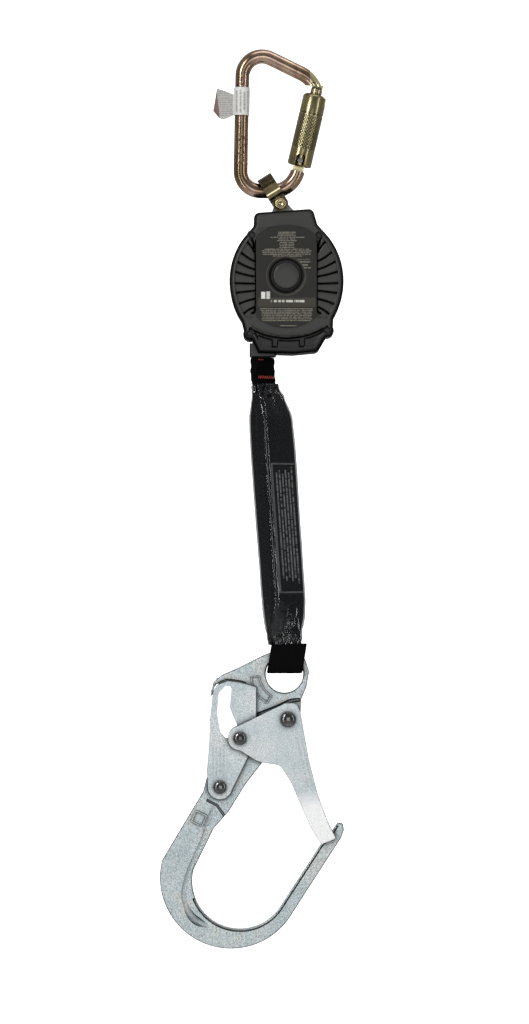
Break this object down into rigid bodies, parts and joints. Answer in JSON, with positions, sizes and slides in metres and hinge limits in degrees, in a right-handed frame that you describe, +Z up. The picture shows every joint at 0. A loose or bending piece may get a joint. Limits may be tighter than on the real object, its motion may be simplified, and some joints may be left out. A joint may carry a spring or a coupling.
{
  "type": "self retracting lifeline",
  "caption": "Personal fall-arrest lifeline: twist-lock carabiner, spring-wound webbing drum with locking pawls in a moulded housing, shock pack and large double-action rebar hook.",
  "frame": {"origin": "the inner top of the carabiner's bow, where it bears on its anchor, in the middle of the rod's thickness", "axes": "+Z up along the hanging line, +X from the carabiner's spine to its gate, -Y towards the labelled front"},
  "size_m": [0.1414, 0.0567, 0.6928],
  "materials": {
    "yellow_zinc": "dark yellow passivated zinc on forged steel",
    "antique_brass": "olive passivated zinc on steel",
    "bright_zinc": "grainy clear zinc on forged steel",
    "dark_steel": "blackened steel",
    "plain_steel": "plain machined steel",
    "spring_steel": "spring steel",
    "brass": "turned brass",
    "bronze": "sintered bronze",
    "aluminium": "die cast aluminium",
    "black_nylon": "moulded charcoal nylon",
    "label_print": "printed label",
    "black_webbing": "woven black webbing",
    "clear_film": "glossy clear film over black webbing",
    "white_tag": "white tag"
  },
  "bodies": {
    "carabiner": {"carabiner_body": "yellow_zinc", "inspection_tag": "white_tag"},
    "gate": {"carabiner_gate": "yellow_zinc", "gate_hinge_pin": "plain_steel", "gate_nose_pin": "plain_steel", "gate_return_spring": "spring_steel", "sleeve_spring": "spring_steel"},
    "sleeve": {"locking_sleeve": "antique_brass"},
    "captive_eye": {"captive_eye": "antique_brass", "clevis_pin": "antique_brass"},
    "housing": {"front_cover": "black_nylon", "rear_cover": "black_nylon", "screw_insert_1": "brass", "screw_insert_2": "brass", "screw_insert_3": "brass", "screw_insert_4": "brass", "housing_screw_1": "dark_steel", "housing_screw_2": "dark_steel", "housing_screw_3": "dark_steel", "housing_screw_4": "dark_steel", "front_label": "label_print", "centre_cap": "black_nylon", "exit_guide": "black_nylon", "load_frame": "plain_steel", "drum_shaft": "plain_steel", "ratchet_ring": "dark_steel", "spring_case": "black_nylon", "spring_lid": "plain_steel", "power_spring": "spring_steel"},
    "drum": {"drum_hub": "aluminium", "drum_flange_front": "aluminium", "drum_flange_rear": "aluminium", "drum_bushing_front": "bronze", "drum_bushing_rear": "bronze", "webbing_coil": "black_webbing", "pawl_pin_a": "plain_steel", "pawl_pin_b": "plain_steel", "pawl_spring_a": "spring_steel", "pawl_spring_b": "spring_steel"},
    "pawl_a": {"pawl_a": "dark_steel"},
    "pawl_b": {"pawl_b": "dark_steel"},
    "lifeline": {"lifeline_web": "black_webbing", "web_tail": "black_webbing", "energy_absorber": "black_webbing", "clear_cover": "clear_film", "pack_label": "label_print", "web_loop": "black_webbing"},
    "hook": {"hook_body": "bright_zinc", "hook_gate_spring": "spring_steel", "hook_lever_spring": "spring_steel", "hook_gate_rivet": "dark_steel", "lever_rivet": "dark_steel"},
    "hook_gate": {"hook_gate": "bright_zinc", "hook_gate_pin": "dark_steel"},
    "hook_lever": {"lock_lever": "bright_zinc"}
  },
  "joints": [
    {"name": "carabiner_gate_hinge", "type": "hinge", "parent": "carabiner", "child": "gate", "pos_m": [0.0294, 0, -0.075], "axis": [0, -1, 0], "range_deg": [0, 25], "stiffness_Nm_per_rad": 0.05, "springref_deg": -22.92},
    {"name": "sleeve_twist", "type": "hinge", "parent": "gate", "child": "sleeve", "pos_m": [0.0294, 0, -0.075], "axis": [0.2283, 0, 0.9736], "range_deg": [0, 90], "stiffness_Nm_per_rad": 0.01, "springref_deg": -22.92},
    {"name": "eye_swing", "type": "hinge", "parent": "carabiner", "child": "captive_eye", "pos_m": [0.0081, 0, -0.0984], "axis": [1, 0, 0], "range_deg": [-25, 25]},
    {"name": "housing_pivot", "type": "hinge", "parent": "captive_eye", "child": "housing", "pos_m": [0.01435, 0, -0.10841], "axis": [0, 1, 0], "range_deg": [-25, 25]},
    {"name": "lifeline_pull", "type": "slide", "parent": "housing", "child": "lifeline", "axis": [0, 0, -1], "range_m": [0, 1.2], "stiffness_N_per_m": 5, "springref_m": -3, "deforming": ["lifeline_web"]},
    {"name": "drum_spin", "type": "hinge", "parent": "housing", "child": "drum", "pos_m": [0.0185, 0, -0.1648], "axis": [0, 1, 0], "range_deg": [-2500, 0]},
    {"name": "pawl_a_swing", "type": "hinge", "parent": "drum", "child": "pawl_a", "pos_m": [0.01594, 0, -0.14396], "axis": [0, 1, 0], "range_deg": [0, 18], "stiffness_Nm_per_rad": 0.005, "springref_deg": -17.19},
    {"name": "pawl_b_swing", "type": "hinge", "parent": "drum", "child": "pawl_b", "pos_m": [0.02106, 0, -0.18564], "axis": [0, 1, 0], "range_deg": [0, 18], "stiffness_Nm_per_rad": 0.005, "springref_deg": -17.19},
    {"name": "hook_swing", "type": "hinge", "parent": "lifeline", "child": "hook", "pos_m": [0.0173, 0, -0.4533], "axis": [1, 0, 0], "range_deg": [-20, 20]},
    {"name": "hook_gate_hinge", "type": "hinge", "parent": "hook", "child": "hook_gate", "pos_m": [0.02, 0, -0.5052], "axis": [0, 1, 0], "range_deg": [0, 35], "stiffness_Nm_per_rad": 0.3, "springref_deg": -34.38},
    {"name": "hook_lever_squeeze", "type": "hinge", "parent": "hook", "child": "hook_lever", "pos_m": [-0.0324, 0, -0.5575], "axis": [0, 1, 0], "range_deg": [0, 9], "stiffness_Nm_per_rad": 0.3, "springref_deg": -17.19}
  ],
  "couplings": [
    {"joint": "drum_spin", "follows": "lifeline_pull", "rad_per_m": -35.779},
    {"joint": "pawl_b_swing", "follows": "pawl_a_swing", "ratio": 1},
    {"joint": "hook_lever_squeeze", "follows": "hook_gate_hinge", "ratio": 0.25714}
  ]
}
